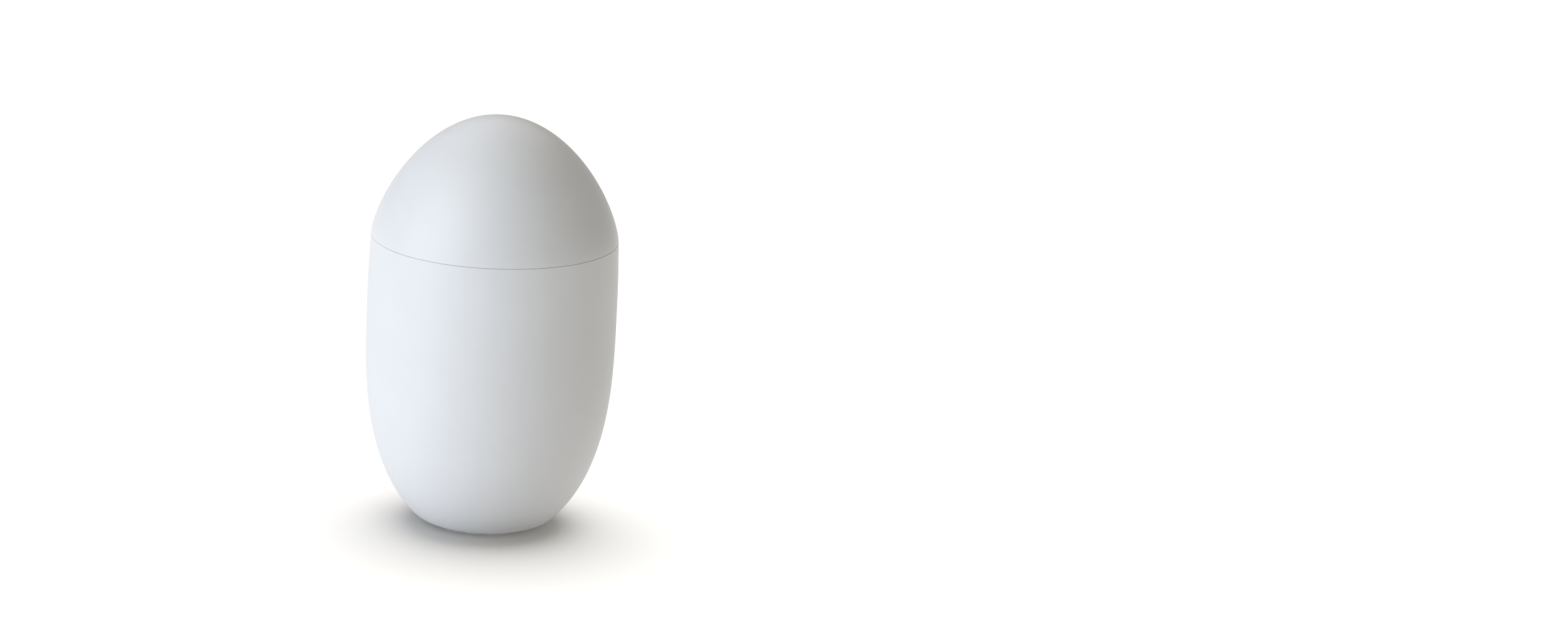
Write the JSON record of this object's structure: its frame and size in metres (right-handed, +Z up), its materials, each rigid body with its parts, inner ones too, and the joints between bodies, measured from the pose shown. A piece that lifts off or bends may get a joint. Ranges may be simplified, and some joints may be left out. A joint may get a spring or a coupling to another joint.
{
  "type": "kitchen timer",
  "caption": "Egg-shaped wind-up kitchen timer: a smooth white cap turns on a weighted body, which holds a clockwork movement and a bell.",
  "frame": {"origin": "middle of the foot's underside, on the surface that the timer stands on", "axes": "+Z up along the axis on which the cap turns; the timer is round, so X and Y only orient the movement: +X points from the main arbor to the second wheel's arbor"},
  "size_m": [0.06, 0.06, 0.1],
  "materials": {
    "white_plastic": "satin moulded white",
    "inner_plastic": "moulded, untreated",
    "foot_rubber": "matte, fine stipple",
    "iron": "as cast",
    "brass": "turned and brushed",
    "bell_steel": "bright plated",
    "spring_steel": "blued",
    "fixings": "zinc plated",
    "steel": "ground"
  },
  "bodies": {
    "case": {"lower_shell": "white_plastic", "foot_pad": "foot_rubber", "ballast_weight": "iron", "ballast_screw": "fixings", "collar_ring": "inner_plastic", "upper_plate": "brass", "lower_plate": "brass", "pillars": "brass", "pillar_nuts": "fixings", "movement_screws": "fixings", "main_bush": "brass", "bell_post": "brass", "bell": "bell_steel", "bell_nut": "fixings", "stop_pin": "steel", "lever_post": "steel", "lever_clip": "spring_steel", "lever_spring": "spring_steel"},
    "cap": {"cap_shell": "white_plastic", "cap_carrier": "inner_plastic", "carrier_screws": "fixings", "hub_ring": "fixings", "main_arbor": "steel", "ratchet_wheel": "steel", "arbor_clip": "spring_steel", "release_cam": "steel", "stop_arm": "steel"},
    "great_wheel": {"great_wheel": "brass", "click_rivet": "steel", "click_spring": "spring_steel"},
    "click": {"click": "steel"},
    "barrel": {"spring_barrel": "brass", "barrel_lid": "brass", "mainspring": "spring_steel"},
    "second_wheel": {"second_arbor": "steel", "second_wheel": "brass"},
    "third_wheel": {"third_arbor": "steel", "third_wheel": "brass"},
    "escape_wheel": {"escape_arbor": "steel", "escape_wheel": "brass"},
    "balance": {"balance_staff": "steel", "anchor": "steel", "anchor_pins": "steel", "balance_wheel": "brass"},
    "strike_wheel": {"strike_arbor": "steel", "strike_wheel": "brass"},
    "hammer": {"hammer_arbor": "steel", "hammer_fork": "steel", "fork_pins": "steel", "lock_arm": "steel", "hammer_arm": "steel", "hammer_head": "brass"},
    "release_lever": {"release_lever": "steel"}
  },
  "joints": [
    {"name": "cap_turn", "type": "hinge", "parent": "case", "child": "cap", "pos_m": [0, 0, 0.0705], "axis": [0, 0, -1], "range_deg": [0, 300]},
    {"name": "great_wheel_turn", "type": "hinge", "parent": "case", "child": "great_wheel", "pos_m": [0, 0, 0.0559], "axis": [0, 0, -1], "range_deg": [0, 300]},
    {"name": "click_swing", "type": "hinge", "parent": "great_wheel", "child": "click", "pos_m": [0.00579, 0.00689, 0.0543], "axis": [0, 0, 1], "range_deg": [0, 8], "stiffness_Nm_per_rad": 0.0005, "springref_deg": -8.59, "deforming": ["click_spring"]},
    {"name": "second_wheel_turn", "type": "hinge", "parent": "case", "child": "second_wheel", "pos_m": [0.014, 0, 0.0589], "axis": [0, 0, -1], "range_deg": [-1800, 0]},
    {"name": "third_wheel_turn", "type": "hinge", "parent": "case", "child": "third_wheel", "pos_m": [0.00999, 0.01046, 0.0614], "axis": [0, 0, -1], "range_deg": [0, 10800]},
    {"name": "escape_wheel_turn", "type": "hinge", "parent": "case", "child": "escape_wheel", "pos_m": [0.0015, 0.01536, 0.0583], "axis": [0, 0, -1], "range_deg": [-64800, 0]},
    {"name": "balance_swing", "type": "hinge", "parent": "case", "child": "balance", "pos_m": [-0.00697, 0.01386, 0.0597], "axis": [0, 0, 1], "range_deg": [-4, 4]},
    {"name": "barrel_turn", "type": "hinge", "parent": "case", "child": "barrel", "pos_m": [0, 0, 0.0463], "axis": [0, 0, -1], "range_deg": [0, 300], "deforming": ["mainspring"]},
    {"name": "strike_wheel_turn", "type": "hinge", "parent": "case", "child": "strike_wheel", "pos_m": [-0.01395, -0.00122, 0.0585], "axis": [0, 0, -1], "range_deg": [-1800, 0]},
    {"name": "hammer_swing", "type": "hinge", "parent": "case", "child": "hammer", "pos_m": [-0.01213, -0.00798, 0.0585], "axis": [0, 0, -1], "range_deg": [0, 7]},
    {"name": "lever_swing", "type": "hinge", "parent": "case", "child": "release_lever", "pos_m": [-0.0105, 0.00749, 0.0655], "axis": [0, 0, -1], "range_deg": [0, 11], "stiffness_Nm_per_rad": 0.0005, "springref_deg": -8.59, "deforming": ["lever_spring"]}
  ],
  "couplings": [
    {"joint": "great_wheel_turn", "follows": "cap_turn", "ratio": 1},
    {"joint": "second_wheel_turn", "follows": "cap_turn", "ratio": -6},
    {"joint": "third_wheel_turn", "follows": "cap_turn", "ratio": 36},
    {"joint": "escape_wheel_turn", "follows": "cap_turn", "ratio": -216},
    {"joint": "strike_wheel_turn", "follows": "barrel_turn", "ratio": -6}
  ]
}
